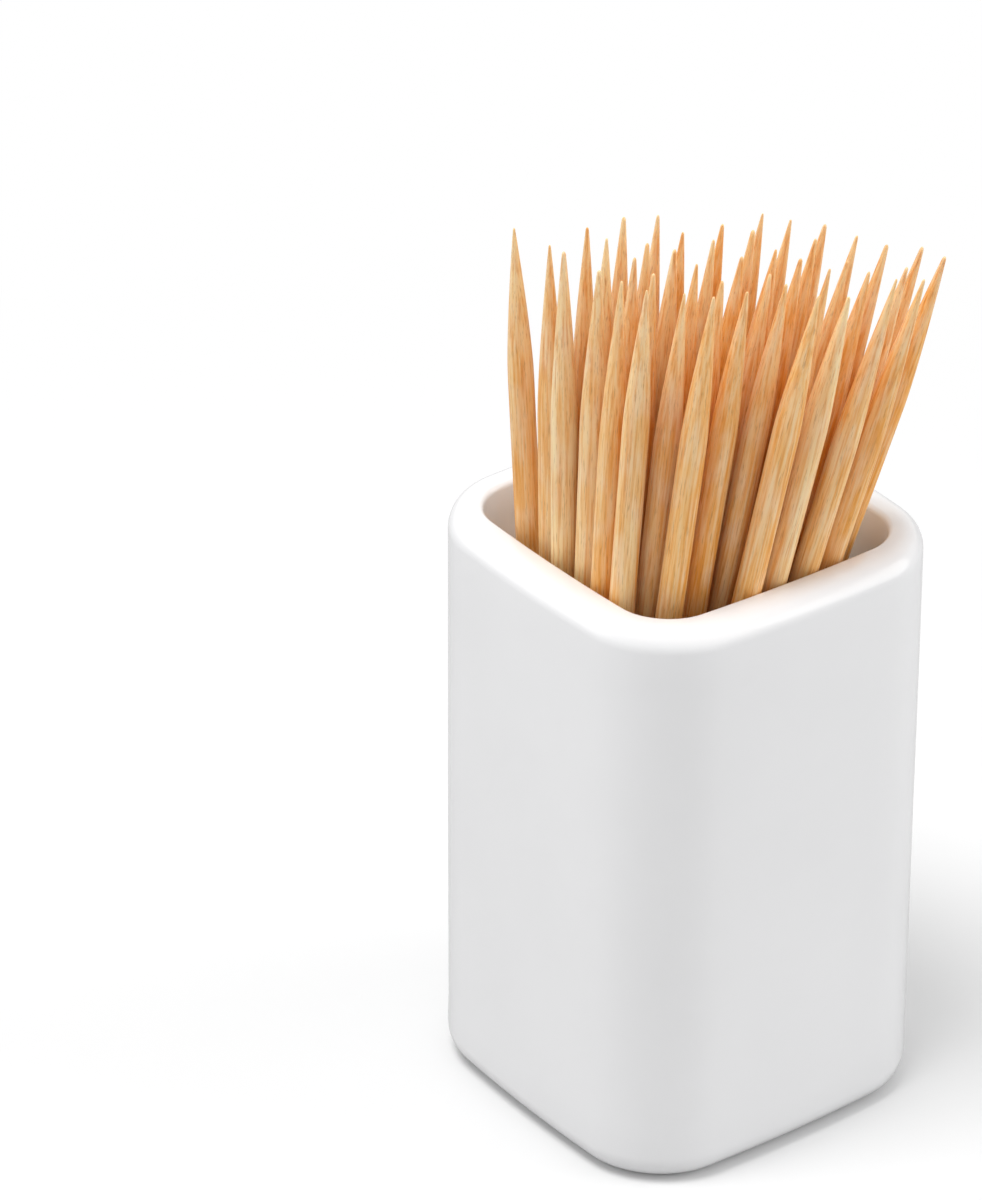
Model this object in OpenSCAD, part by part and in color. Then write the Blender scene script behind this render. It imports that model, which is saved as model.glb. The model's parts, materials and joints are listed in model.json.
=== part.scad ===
// Square ceramic cup filled with loose, double-pointed wooden toothpicks.
// Origin: middle of the cup's base. +Z up, faces square to X and Y, millimetres.

/* [Cup] */
// Width and depth over opposite faces
cup_w = 27.3; // [25:0.5:36]
// Height of the cup
cup_h = 43.4; // [38:0.5:50]
// Thickness of the wall
wall_t = 2.7; // [2.2:0.1:3.4]
// Thickness of the floor
floor_t = 3.6; // [3:0.1:6]
// Outside radius of the upright corners
corner_r = 7.2; // [5:0.1:9]
// Radius of the rim's outer edge
rim_r = 2.2; // [1:0.05:2.6]
// Radius of the rim's inner edge
lip_r = 0.4; // [0.2:0.05:0.6]
// Radius of the edge round the bottom
heel_r = 2.4; // [1:0.1:2.9]
// Radius where the inner wall meets the floor
well_r = 0.8; // [0.4:0.1:2]

/* [Foot] */
// Width of the ring that the cup stands on
foot_w = 1.8; // [1:0.1:3]
// Depth of the recess inside that ring
foot_h = 0.5; // [0.2:0.1:1.2]

/* [Toothpick] */
// Length of the longest toothpick, tip to tip
pick_l = 65; // [58:0.5:70]
// Most that a toothpick falls short of it
short_most = 1.2; // [0:0.1:2]
// Length of the sharpened point at each end
point_l = 12; // [8:0.5:15]
// Thickness of the blunt tip
tip_d = 0.3; // [0.2:0.05:0.5]

/* [Bunch] */
// Gap between two shafts where their points begin, which sets how thick a shaft is
pick_gap = 0.09; // [0.06:0.01:0.4]
// Gap between a lower tip and the floor
seat_gap = 0.1; // [0.05:0.05:0.3]
// Direction in which the bunch fans out, from the X axis
fan_turn = -36.5; // [-60:0.5:-20]
// Shift of the rim against the feet along that direction, as a share of the hollow's half width
fan_lean_share = 0.38; // [0:0.01:0.5]
// Shift across it, towards the nearest corner
front_lean_share = 0.64; // [0:0.01:0.7]
// Spread of the feet on the floor, as a share of the spread at the rim
feet_share = 0.46; // [0.4:0.02:1]
// Farthest that a toothpick strays along the fan at the rim, as a share of the pitch
stray_along_share = 0.1; // [0:0.01:0.12]
// Farthest that it strays across the fan
stray_across_share = 0.03; // [0:0.01:0.05]
// Seed of the stray places
stray_seed = 37; // [1:1:99]

/* [Hidden] */
// Finest step of a curve
$fn = 96;

// The cup's outline: flat faces, and round corners centred this far from the middle
half_w = cup_w/2;
corner_c = half_w - corner_r;
// The wall's section reaches this far in under the floor, whose middle laps over its end
floor_lap = corner_r/10;
floor_reach = corner_r - floor_lap;
floor_mid = corner_c + 2*floor_lap;

// Edges that may not outgrow their wall
rim_edge = min(rim_r, wall_t - lip_r);
heel_edge = min(heel_r, floor_t);

// The hollow: its depth and half its width
well_h = cup_h - floor_t;
well_half = half_w - wall_t;

// A pick's outline as [share of the point's length, share of the way from tip to shaft radius]
point_shares = [[0, 0], [0.12, 0.2], [0.3, 0.44], [0.6, 0.78], [0.82, 0.94], [1, 1]];

// The bunch at the rim: rows of places from the face at -Y, each row as [first place, number of places]
row_spans = [[3, 4], [1, 7], [0, 8], [0, 7], [0, 7], [0, 6], [0, 4], [0, 1]];
edge_share = 0.906;
pitch_share = 0.2232;
row_share = 0.88;
row_shift_share = 0.05;
first_place = edge_share*well_half;
pick_pitch = pitch_share*well_half;
row_pitch = row_share*pick_pitch;

// Down to the floor the bunch gathers along the fan and shifts
fan = [cos(fan_turn), sin(fan_turn)];
across = [-sin(fan_turn), cos(fan_turn)];
gather = 1 - feet_share;
shift = well_half*(fan_lean_share*fan - front_lean_share*across);

// A shaft's thickness: what the nearest two leave each other where the points begin
waist_share = 1 - point_l/well_h;
waist_squeeze = gather*waist_share;
waist_step = norm([1 - waist_squeeze*fan.x*fan.x, waist_squeeze*fan.x*fan.y]);
pick_d = waist_step*pick_pitch*cos(atan(fan_lean_share*well_half/well_h)) - pick_gap;

// Places of the picks, each as [foot, unit axis, length]
most_places = max([for (row = row_spans) row[0] + row[1]]);
stray = rands(-1, 1, 2*len(row_spans)*most_places, stray_seed);
short = rands(0, short_most, len(row_spans)*most_places, stray_seed);
function strayed(k) =
    pick_pitch*(stray_along_share*stray[2*k]*fan + stray_across_share*stray[2*k + 1]*across);
function rim_place(i, j) = [(i + row_shift_share*j)*pick_pitch - first_place, j*row_pitch - first_place];
function slope(p, stray) = (gather*(p*fan)*fan + shift + stray/waist_share)/well_h;
function pick_at(p, stray, short) =
    let (s = slope(p, stray), z = floor_t + seat_gap + tip_d/2, q = p + stray - s*(cup_h - z))
    [[q.x, q.y, z], [s.x, s.y, 1]/norm([s.x, s.y, 1]), pick_l - short];
picks = [for (j = [0:len(row_spans) - 1]) for (i = [row_spans[j][0]:row_spans[j][0] + row_spans[j][1] - 1])
    let (k = j*most_places + i) pick_at(rim_place(i, j), strayed(k), short[k])];

function pick_name(k) = str("toothpick_", k < 9 ? "0" : "", k + 1);

// A quarter disc about a centre, on the side that the two signs give
module rounded_edge(centre, radius, side) {
    translate(centre) intersection() {
        circle(radius);
        translate([min(side.x, 0)*radius, min(side.y, 0)*radius]) square(radius);
    }
}

// Wall, rim, heel and the floor's edge in section, drawn inwards from the outside face
module wall_section() {
    difference() {
        union() {
            translate([-wall_t, heel_edge]) square([wall_t, cup_h - rim_edge - heel_edge]);
            translate([-wall_t, heel_edge]) square([wall_t - rim_edge, cup_h - lip_r - heel_edge]);
            translate([lip_r - wall_t, heel_edge]) square([wall_t - lip_r - rim_edge, cup_h - heel_edge]);
            rounded_edge([-rim_edge, cup_h - rim_edge], rim_edge, [1, 1]);
            rounded_edge([lip_r - wall_t, cup_h - lip_r], lip_r, [-1, 1]);
            rounded_edge([-heel_edge, heel_edge], heel_edge, [1, -1]);
            translate([-floor_reach, 0]) square([floor_reach - heel_edge, floor_t]);
            translate([-wall_t - well_r, floor_t/2]) square([wall_t/2 + well_r, floor_t/2 + well_r]);
        }
        translate([-wall_t - well_r, floor_t + well_r]) circle(well_r);
        translate([-corner_r, -foot_h]) square([corner_r - heel_edge - foot_w, 2*foot_h]);
    }
}

// A face of the cup and the round corner after it
module cup_quarter() {
    translate([half_w, 0, 0]) rotate([90, 0, 0])
        linear_extrude(2*corner_c, center = true) wall_section();
    translate([corner_c, corner_c, 0])
        rotate_extrude(angle = 90) translate([corner_r, 0]) wall_section();
}

module cup() {
    color("white") union() {
        for (turn = [0:90:270]) rotate(turn) cup_quarter();
        translate([-floor_mid, -floor_mid, foot_h]) cube([2*floor_mid, 2*floor_mid, floor_t - foot_h]);
    }
}

// A pick standing on its lower tip at the origin
module pick_shape(length) {
    tip_r = tip_d/2;
    shaft_r = pick_d/2;
    side = [for (s = point_shares) [tip_r + s.y*(shaft_r - tip_r), s.x*point_l]];
    other = [for (n = [len(side) - 1:-1:0]) [side[n].x, length - side[n].y]];
    rotate_extrude($fn = 48) polygon(concat([[0, 0]], side, other, [[0, length]]));
}

module toothpick(pick) {
    foot = pick[0];
    axis = pick[1];
    color("burlywood") translate(foot) rotate([0, acos(axis.z), atan2(axis.y, axis.x)]) pick_shape(pick[2]);
}

cup();
for (k = [0:len(picks) - 1])
    toothpick(picks[k]);
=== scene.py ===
"""A square glazed cup of loose wooden toothpicks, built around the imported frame. Lengths are in metres."""
import json
import math
import random

import bmesh
import bpy
from mathutils import Matrix, Vector, noise


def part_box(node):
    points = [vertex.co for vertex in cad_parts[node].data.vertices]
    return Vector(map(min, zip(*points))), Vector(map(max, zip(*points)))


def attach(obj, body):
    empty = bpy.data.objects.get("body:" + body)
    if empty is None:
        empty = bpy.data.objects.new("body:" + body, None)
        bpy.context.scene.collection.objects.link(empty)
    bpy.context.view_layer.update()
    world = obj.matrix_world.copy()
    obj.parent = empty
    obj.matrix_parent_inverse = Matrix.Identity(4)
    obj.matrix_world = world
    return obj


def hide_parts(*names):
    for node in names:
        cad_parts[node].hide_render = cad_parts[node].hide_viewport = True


MM = 0.001

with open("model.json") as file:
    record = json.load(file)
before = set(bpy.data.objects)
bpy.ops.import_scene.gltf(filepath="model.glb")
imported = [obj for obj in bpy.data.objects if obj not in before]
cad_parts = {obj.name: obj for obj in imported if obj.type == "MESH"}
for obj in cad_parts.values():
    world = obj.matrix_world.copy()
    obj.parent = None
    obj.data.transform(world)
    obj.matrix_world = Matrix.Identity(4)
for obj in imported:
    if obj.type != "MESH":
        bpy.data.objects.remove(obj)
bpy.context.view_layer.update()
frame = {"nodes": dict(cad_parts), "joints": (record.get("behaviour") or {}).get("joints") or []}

# The camera: the photograph is 1200 pixels high, and its focal length is 5800 of them
PICTURE_HEIGHT = 1200
FOCAL_PIXELS = 5800
SENSOR_MM = 36
CAMERA_PLACE = (-211.45 * MM, -263.79 * MM, 232.85 * MM)
CAMERA_LOOK = (0.5147, 0.6952, -0.5019)
CAMERA_CLIP = 10 * MM


def make_camera():
    data = bpy.data.cameras.new("camera")
    data.sensor_width = SENSOR_MM
    data.lens = FOCAL_PIXELS * SENSOR_MM / PICTURE_HEIGHT
    data.clip_start = CAMERA_CLIP
    camera = bpy.data.objects.new("camera", data)
    camera.location = CAMERA_PLACE
    camera.rotation_mode = "QUATERNION"
    camera.rotation_quaternion = Vector(CAMERA_LOOK).to_track_quat("-Z", "Y")
    bpy.context.scene.collection.objects.link(camera)
    bpy.context.scene.camera = camera


# Materials


def linear(hex_colour):
    """An sRGB hex colour as linear RGBA."""
    shares = [int(hex_colour[at:at + 2], 16) / 255 for at in (1, 3, 5)]
    return [s / 12.92 if s <= 0.04045 else ((s + 0.055) / 1.055) ** 2.4 for s in shares] + [1.0]


def empty_material(name):
    material = bpy.data.materials.new(name)
    material.use_nodes = True
    material.node_tree.nodes.clear()
    return material, material.node_tree


def add_node(tree, kind, settings=None, values=None, links=None):
    """Adds a node with its settings, socket values and links from other nodes' sockets."""
    made = tree.nodes.new(kind)
    for name, value in (settings or {}).items():
        setattr(made, name, value)
    for socket, value in (values or {}).items():
        made.inputs[socket].default_value = value
    for socket, source in (links or {}).items():
        tree.links.new(source, made.inputs[socket])
    return made


def finish_material(tree, shader):
    add_node(tree, "ShaderNodeOutputMaterial", links={"Surface": shader.outputs[0]})


# The sockets of a node that mixes colours: its share, the two colours and the result
MIX_SHARE, MIX_FIRST, MIX_SECOND, MIX_RESULT = 0, 6, 7, 2


def mix_colours(tree, share, first, second):
    """The first colour with a share of the second. Each is a hex string or another node's socket."""
    values, links = {}, {MIX_SHARE: share}
    for socket, colour in ((MIX_FIRST, first), (MIX_SECOND, second)):
        if isinstance(colour, str):
            values[socket] = linear(colour)
        else:
            links[socket] = colour
    made = add_node(tree, "ShaderNodeMix", {"data_type": "RGBA"}, values, links)
    return made.outputs[MIX_RESULT]


def even_noise(tree, place, size, detail):
    """Noise of one size in all directions."""
    made = add_node(tree, "ShaderNodeTexNoise", values={"Scale": 1 / size, "Detail": detail},
                    links={"Vector": place})
    return made.outputs["Fac"]


def grain_noise(tree, place, width, length, detail, roughness=0.55):
    """Noise drawn out along a pick: width across the fibres and length along them."""
    stretched = add_node(tree, "ShaderNodeMapping",
                         values={"Scale": (1 / width, 1 / width, 1 / length)}, links={"Vector": place})
    made = add_node(tree, "ShaderNodeTexNoise",
                    values={"Scale": 1.0, "Detail": detail, "Roughness": roughness},
                    links={"Vector": stretched.outputs["Vector"]})
    return made.outputs["Fac"]


def raised(tree, height, strength, distance, under=None):
    """Normals of a surface that a height pattern raises by up to a distance, on top of other normals."""
    links = {"Height": height}
    if under is not None:
        links["Normal"] = under
    made = add_node(tree, "ShaderNodeBump", values={"Strength": strength, "Distance": distance}, links=links)
    return made.outputs["Normal"]


def spread(tree, value, least, most):
    """A value from 0 to 1, spread between the least and the most."""
    made = add_node(tree, "ShaderNodeMapRange", values={"To Min": least, "To Max": most},
                    links={"Value": value})
    return made.outputs["Result"]


def share_between(tree, value, low, high, most):
    """A mixing share that rises from nothing to the most as a value goes from low to high."""
    made = add_node(tree, "ShaderNodeMapRange", values={"From Min": low, "From Max": high, "To Max": most},
                    links={"Value": value})
    return made.outputs["Result"]


def glazed_stoneware():
    """White gloss glaze, a little wavy, cloudy and pitted."""
    material, tree = empty_material("glazed_stoneware")
    place = add_node(tree, "ShaderNodeTexCoord").outputs["Object"]
    cloud = even_noise(tree, place, 9 * MM, 2.0)
    wave = even_noise(tree, place, 5 * MM, 1.0)
    pit = even_noise(tree, place, 0.35 * MM, 2.0)
    waves = raised(tree, wave, 0.35, 0.06 * MM)
    skin = raised(tree, pit, 0.12, 0.01 * MM, waves)
    shader = add_node(tree, "ShaderNodeBsdfPrincipled",
                      values={"IOR": 1.5, "Coat Weight": 0.1, "Coat Roughness": 0.08, "Coat IOR": 1.5},
                      links={"Base Color": mix_colours(tree, cloud, "#ECECED", "#F1F1F2"),
                             "Roughness": spread(tree, cloud, 0.16, 0.26), "Normal": skin})
    finish_material(tree, shader)
    return material


def bare_stoneware():
    """The unglazed ring that the cup was fired on: dry, warm white clay with a fine sandy grain."""
    material, tree = empty_material("bare_stoneware")
    place = add_node(tree, "ShaderNodeTexCoord").outputs["Object"]
    grit = even_noise(tree, place, 0.3 * MM, 4.0)
    shader = add_node(tree, "ShaderNodeBsdfPrincipled", values={"Roughness": 0.85},
                      links={"Base Color": mix_colours(tree, grit, "#CFC5B6", "#E6DED2"),
                             "Normal": raised(tree, grit, 0.5, 0.03 * MM)})
    finish_material(tree, shader)
    return material


def birch():
    """Turned birch, unfinished: golden, with long fibres and dark pores, paler where it is pointed, and
    golden bands along the grain that are partly the wood's own banding and partly painted highlight and
    shade.
    """
    material, tree = empty_material("birch")
    place = add_node(tree, "ShaderNodeAttribute", {"attribute_name": "grain"}).outputs["Vector"]
    tone = add_node(tree, "ShaderNodeAttribute", {"attribute_name": "tone"}).outputs["Fac"]
    cut = add_node(tree, "ShaderNodeAttribute", {"attribute_name": "cut"}).outputs["Fac"]
    # Fibre bundles are drawn about twice their real 0.1 mm, or they would not show
    # Broad golden bands along the grain: partly the wood's own banding, partly painted highlight and shade.
    # Their contrast with the paler tone is raised so that each pick shows pale, highlit-looking stripes
    # beside golden, shaded-looking ones, placed at random.
    bands_and_painted_sheen = grain_noise(tree, place, 0.8 * MM, 20 * MM, 2.0)
    fibres = grain_noise(tree, place, 0.17 * MM, 6 * MM, 3.0)
    pores = grain_noise(tree, place, 0.09 * MM, 1.6 * MM, 2.0, 0.7)
    blotch = grain_noise(tree, place, 1.2 * MM, 4 * MM, 2.0)
    # Each layer has its pattern, where in the pattern it starts and is full, its share there, and its colour
    layers = (
        # The golden bands: grain banding that also paints shade beside paler stripes that read as painted
        # highlight
        (bands_and_painted_sheen, 0.36, 0.62, 0.7, "#EC9A1E"),
        (cut, 0.0, 0.8, 0.3, "#FFE2B4"),
        (blotch, 0.46, 0.7, 0.4, "#FFE4C4"),
        (fibres, 0.45, 0.65, 0.45, "#FFE8BC"),
        (fibres, 0.48, 0.32, 0.5, "#DE8410"),
        (pores, 0.56, 0.7, 0.4, "#96561C"),
    )
    colour = mix_colours(tree, tone, "#FFE4AE", "#FCB24A")
    for pattern, low, high, most, layer_colour in layers:
        colour = mix_colours(tree, share_between(tree, pattern, low, high, most), colour, layer_colour)
    ridges = raised(tree, fibres, 0.6, 0.03 * MM)
    fuzz = raised(tree, pores, 0.4, 0.015 * MM, ridges)
    shader = add_node(tree, "ShaderNodeBsdfPrincipled",
                      values={"IOR": 1.45, "Specular IOR Level": 0.7, "Subsurface Weight": 0.1,
                              "Subsurface Radius": (1.0, 0.7, 0.3), "Subsurface Scale": 0.5 * MM},
                      links={"Base Color": colour, "Roughness": spread(tree, fibres, 0.42, 0.66),
                             "Normal": fuzz})
    finish_material(tree, shader)
    return material


# Mesh helpers


def settle_order(bm):
    """Sorts vertices and faces by place, because some operators order them differently in each run."""
    for elements, place in ((bm.verts, lambda v: v.co[:]), (bm.faces, lambda f: f.calc_center_median()[:])):
        for index, element in enumerate(sorted(elements, key=place)):
            element.index = index
        elements.sort()


def to_object(bm, name, materials):
    bmesh.ops.recalc_face_normals(bm, faces=bm.faces[:])
    settle_order(bm)
    for face in bm.faces:
        face.smooth = True
    mesh = bpy.data.meshes.new(name)
    bm.to_mesh(mesh)
    bm.free()
    for material in materials:
        mesh.materials.append(material)
    made = bpy.data.objects.new(name, mesh)
    bpy.context.scene.collection.objects.link(made)
    return made


def arc(centre, radii, start, end, steps):
    """Points of an elliptical arc in the wall's section, as (inset, height); 0 degrees points inwards."""
    points = []
    for step in range(steps + 1):
        turn = math.radians(start + (end - start) * step / steps)
        points.append((centre[0] + radii[0] * math.cos(turn), centre[1] + radii[1] * math.sin(turn)))
    return points


# The cup. Its faces bow outwards, so the outline starts with tighter corners than it ends with.
cup_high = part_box("cup")[1]
HALF = cup_high.x
HEIGHT = cup_high.z
CORNER = 6.1 * MM
# Shares of the half width: how far the corners draw in, and how much narrower the rim is than the foot
BOW_SHARE = 0.053
TAPER_SHARE = 0.008
WALL = 2.7 * MM
FLOOR = 3.6 * MM
# The rim's outer edge reaches this far in and this far down
RIM_RADII = (1.8 * MM, 1.6 * MM)
LIP = 0.45 * MM
HEEL = 2.1 * MM
WELL = 0.8 * MM
FOOT_WIDTH = 2.1 * MM
FOOT_DEPTH = 0.5 * MM
FOOT_EDGE = 0.25 * MM
# The glaze wavers inwards by up to this much, over this length
WAVER = 0.05 * MM
WAVER_LENGTH = 15 * MM
# How finely the outline and the section are divided
CORNER_STEPS = 16
FACE_CUTS = 13
WALL_RINGS = 18
HEEL_STEPS = 12
RIM_STEPS = 14
INNER_STEPS = 6
# The lip's arc starts at this many degrees instead of 90, so that the top slopes in a little
LIP_START = 80


def cup_section():
    """The cup's wall from the recess under it to its floor, as (inset from the outline, height)."""
    foot_inner = HEEL + FOOT_WIDTH
    section = [(foot_inner + FOOT_EDGE, FOOT_DEPTH)]
    section += [(foot_inner, FOOT_DEPTH - FOOT_EDGE / 2), (foot_inner, FOOT_EDGE / 2)]
    section += [(foot_inner - FOOT_EDGE, 0.0), (HEEL + FOOT_EDGE, 0.0)]
    section += arc((HEEL, HEEL), (HEEL, HEEL), 270, 180, HEEL_STEPS)
    rim_start = HEIGHT - RIM_RADII[1]
    for ring in range(1, WALL_RINGS):
        section.append((0.0, HEEL + (rim_start - HEEL) * ring / WALL_RINGS))
    section += arc((RIM_RADII[0], rim_start), RIM_RADII, 180, 90, RIM_STEPS)
    section += arc((WALL - LIP, HEIGHT - LIP), (LIP, LIP), LIP_START, 0, INNER_STEPS)
    inner_foot = FLOOR + WELL
    for ring in range(1, WALL_RINGS):
        section.append((WALL, HEIGHT - LIP + (inner_foot - HEIGHT + LIP) * ring / WALL_RINGS))
    section += arc((WALL + WELL, inner_foot), (WELL, WELL), 180, 270, INNER_STEPS)
    section.append((WALL + WELL + FOOT_EDGE, FLOOR))
    return section


def move_ring(verts, inset, height):
    """Puts a ring at an inset from the rounded square outline, and at a height."""
    core_half = HALF - CORNER
    for vert in verts:
        core = Vector([min(max(c, -core_half), core_half) for c in vert.co.xy])
        outwards = (vert.co.xy - core).normalized()
        vert.co.xy = core + outwards * (CORNER - inset)
        vert.co.z = height


def make_cup(glaze, clay):
    bm = bmesh.new()
    corners = ((HALF, HALF), (-HALF, HALF), (-HALF, -HALF), (HALF, -HALF))
    bm.faces.new([bm.verts.new((x, y, 0)) for x, y in corners])
    bmesh.ops.bevel(bm, geom=bm.verts[:], offset=CORNER, offset_type="OFFSET", segments=CORNER_STEPS,
                    profile=0.5, affect="VERTICES", material=-1)
    straight = [e for e in bm.edges if e.calc_length() > HALF - CORNER]
    bmesh.ops.subdivide_edges(bm, edges=straight, cuts=FACE_CUTS)
    section = cup_section()
    move_ring(bm.verts[:], *section[0])
    ring = bm.edges[:]
    for inset, height in section[1:]:
        grown = bmesh.ops.extrude_edge_only(bm, edges=ring)["geom"]
        verts = {g for g in grown if isinstance(g, bmesh.types.BMVert)}
        ring = [g for g in grown if isinstance(g, bmesh.types.BMEdge) and set(g.verts) <= verts]
        move_ring(verts, inset, height)
    bmesh.ops.contextual_create(bm, geom=ring)
    for vert in bm.verts:
        x, y, z = vert.co
        taper = 1 - TAPER_SHARE * z / HEIGHT
        vert.co.x = x * taper * (1 - BOW_SHARE * (y / HALF) ** 2)
        vert.co.y = y * taper * (1 - BOW_SHARE * (x / HALF) ** 2)
        if HEEL < z < HEIGHT - LIP:
            inwards = 0.5 + 0.5 * noise.noise(Vector((x, y, z)) / WAVER_LENGTH)
            vert.co.xy -= vert.co.xy.normalized() * WAVER * inwards
    for face in bm.faces:
        if face.calc_center_median().z < FOOT_EDGE / 4:
            face.material_index = 1
    return to_object(bm, "glazed_cup", [glaze, clay])


# The toothpicks. Each stands where its solid does, with its own points, tips, tone and grain.
PICK_SIDES = 20
PICK_CUTS = 58
PICK_SEED = 700
# What each toothpick draws: its thickness as a share of its solid's, then lengths in millimetres, the shapes
# of its tone's distribution, and the millimetres over which the grain is spread
THICK_SHARES = (0.955, 1.0)
POINT_LENGTHS = (10.5, 14.0)
TIP_RADII = (0.06, 0.13)
BEND = 0.05
TONE_SHAPES = (1.6, 1.8)
GRAIN_SPREAD = 400
# A point swells by this power of the way from its tip
POINT_POWER = 1.4
# The end of a tip is this share of the tip's radius, and grows by the next per radius of length
NOSE_SHARE = 0.5
NOSE_GROWTH = 0.6
# Dents along the shaft: their depth as a share of its radius, their length, and what turns a toothpick's
# offset in the grain into one in the dents
DENT_SHARE = 0.02
DENT_LENGTH = 6 * MM
DENT_OFFSET = 100
# Points of a solid this near its lower end belong to its tip
END_SLACK = 0.01 * MM
lift_axes = {j["child"]: Vector(j["axis"]).normalized() for j in frame["joints"]}


def pick_place(node, axis):
    """The middle of a pick's lower tip, its length and its thickest radius, read from its solid's mesh."""
    points = [v.co for v in frame["nodes"][node].data.vertices]
    along = [p.dot(axis) for p in points]
    low, high = min(along), max(along)
    end = [p for p, a in zip(points, along) if a < low + END_SLACK]
    foot = sum(end, Vector()) / len(end)
    radius = max((p - foot - axis * (p - foot).dot(axis)).length for p in points)
    return foot, high - low, radius


def make_pick(number, node, axis, wood):
    dice = random.Random(PICK_SEED + number)
    foot, length, radius = pick_place(node, axis)
    radius *= dice.uniform(*THICK_SHARES)
    points = [dice.uniform(*POINT_LENGTHS) * MM, dice.uniform(*POINT_LENGTHS) * MM]
    tips = [dice.uniform(*TIP_RADII) * MM, dice.uniform(*TIP_RADII) * MM]
    bend = dice.uniform(-BEND, BEND) * MM
    turn = dice.uniform(0, 2 * math.pi)
    tone = dice.betavariate(*TONE_SHAPES)
    offset = Vector([dice.uniform(0, GRAIN_SPREAD) * MM for _ in range(3)])

    bm = bmesh.new()
    bmesh.ops.create_cone(bm, cap_ends=True, segments=PICK_SIDES, radius1=1.0, radius2=1.0, depth=1.0)
    sides = [e for e in bm.edges if abs(e.verts[0].co.z - e.verts[1].co.z) > 0.5]
    bmesh.ops.subdivide_edges(bm, edges=sides, cuts=PICK_CUTS)
    grain = bm.verts.layers.float_vector.new("grain")
    shade = bm.verts.layers.float.new("tone")
    cut = bm.verts.layers.float.new("cut")
    for vert in bm.verts:
        # Rings lie closest together at the tips
        share = (1 - math.cos(math.pi * (vert.co.z + 0.5))) / 2
        along = share * length
        end = 0 if share < 0.5 else 1
        from_tip = min(along, length - along)
        swell = 1 - (1 - min(from_tip / points[end], 1)) ** POINT_POWER
        thick = tips[end] + (radius - tips[end]) * swell
        nose = min(from_tip / tips[end] * NOSE_GROWTH + NOSE_SHARE, 1)
        dent_place = Vector((vert.co.x, vert.co.y, along / DENT_LENGTH)) + offset * DENT_OFFSET
        dent = 1 - DENT_SHARE * noise.noise(dent_place)
        thick *= nose * min(dent, 1)
        vert.co = Vector((vert.co.x * thick, vert.co.y * thick, along))
        vert[grain] = vert.co + offset
        vert[shade] = tone
        vert[cut] = 1 - swell
        vert.co.x += bend * math.sin(math.pi * share)
    placing = Matrix.Translation(foot) @ axis.to_track_quat("Z", "Y").to_matrix().to_4x4()
    bmesh.ops.transform(bm, matrix=placing @ Matrix.Rotation(turn, 4, "Z"), verts=bm.verts[:])
    return to_object(bm, "pick_%02d" % number, [wood])


# Floor, lamps and world. As seen, the floor fades to plain white between two distances from the middle.
FLOOR_HALF = 6.0
FADE_START = 30 * MM
FADE_END = 130 * MM
LAMP_TARGET = Vector((0, 0, 30 * MM))
# Directions: to the right in the picture, level and away from the camera, and upwards
RIGHT = Vector((0.804, -0.595, 0))
AWAY = Vector((0.595, 0.804, 0))
UP = Vector((0, 0, 1))


def white_floor():
    """A seamless white sweep, which takes the cup's soft shadow."""
    material, tree = empty_material("white_sweep")
    place = add_node(tree, "ShaderNodeTexCoord").outputs["Object"]
    distance = add_node(tree, "ShaderNodeVectorMath", {"operation": "LENGTH"}, links={0: place})
    far = share_between(tree, distance.outputs["Value"], FADE_START, FADE_END, 1.0)
    seen = add_node(tree, "ShaderNodeLightPath").outputs["Is Camera Ray"]
    # The lighter grey is what is seen, and the darker one throws light back on the cup
    colour = mix_colours(tree, seen, "#BDBDBD", "#E9E9E9")
    paper = add_node(tree, "ShaderNodeBsdfPrincipled", values={"Roughness": 0.9, "Specular IOR Level": 0.0},
                     links={"Base Color": colour})
    white = add_node(tree, "ShaderNodeEmission", values={"Color": linear("#FFFFFF"), "Strength": 1.0})
    share = add_node(tree, "ShaderNodeMath", {"operation": "MULTIPLY"}, links={0: seen, 1: far})
    shader = add_node(tree, "ShaderNodeMixShader",
                      links={0: share.outputs[0], 1: paper.outputs[0], 2: white.outputs[0]})
    finish_material(tree, shader)
    bm = bmesh.new()
    bmesh.ops.create_grid(bm, x_segments=1, y_segments=1, size=FLOOR_HALF)
    floor = to_object(bm, "floor", [material])


def area_lamp(name, place, size, power):
    """A round white lamp turned to the cup. Its power is in watts."""
    data = bpy.data.lights.new(name, "AREA")
    data.shape = "DISK"
    data.size = size
    data.energy = power
    lamp = bpy.data.objects.new(name, data)
    lamp.location = place
    lamp.rotation_mode = "QUATERNION"
    lamp.rotation_quaternion = (LAMP_TARGET - place).to_track_quat("-Z", "Y")
    bpy.context.scene.collection.objects.link(lamp)


def light_scene():
    world = bpy.data.worlds.new("studio")
    bpy.context.scene.world = world
    world.use_nodes = True
    tree = world.node_tree
    tree.nodes.clear()
    light_path = add_node(tree, "ShaderNodeLightPath")
    seen = add_node(tree, "ShaderNodeMath", {"operation": "MAXIMUM"},
                    links={0: light_path.outputs["Is Camera Ray"], 1: light_path.outputs["Is Glossy Ray"]})
    # White where it is seen or mirrored, and a light grey as a source of light
    colour = mix_colours(tree, seen.outputs[0], "#DADADA", "#FFFFFF")
    background = add_node(tree, "ShaderNodeBackground", links={"Color": colour})
    add_node(tree, "ShaderNodeOutputWorld", links={"Surface": background.outputs[0]})
    area_lamp("key_lamp", 0.58 * UP - 0.11 * AWAY - 0.14 * RIGHT, 0.26, 1.85)
    area_lamp("left_lamp", -0.6 * RIGHT + 0.2 * UP, 0.5, 0.5)
    area_lamp("right_lamp", 0.62 * RIGHT - 0.02 * AWAY + 0.2 * UP, 0.5, 1.5)


bpy.context.scene.view_settings.view_transform = "Standard"
make_camera()
light_scene()
white_floor()

cup = make_cup(glazed_stoneware(), bare_stoneware())
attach(cup, "cup")
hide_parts("cup")

wood = birch()
for number, (node, axis) in enumerate(sorted(lift_axes.items()), start=1):
    pick = make_pick(number, node, axis, wood)
    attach(pick, node)
    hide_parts(node)
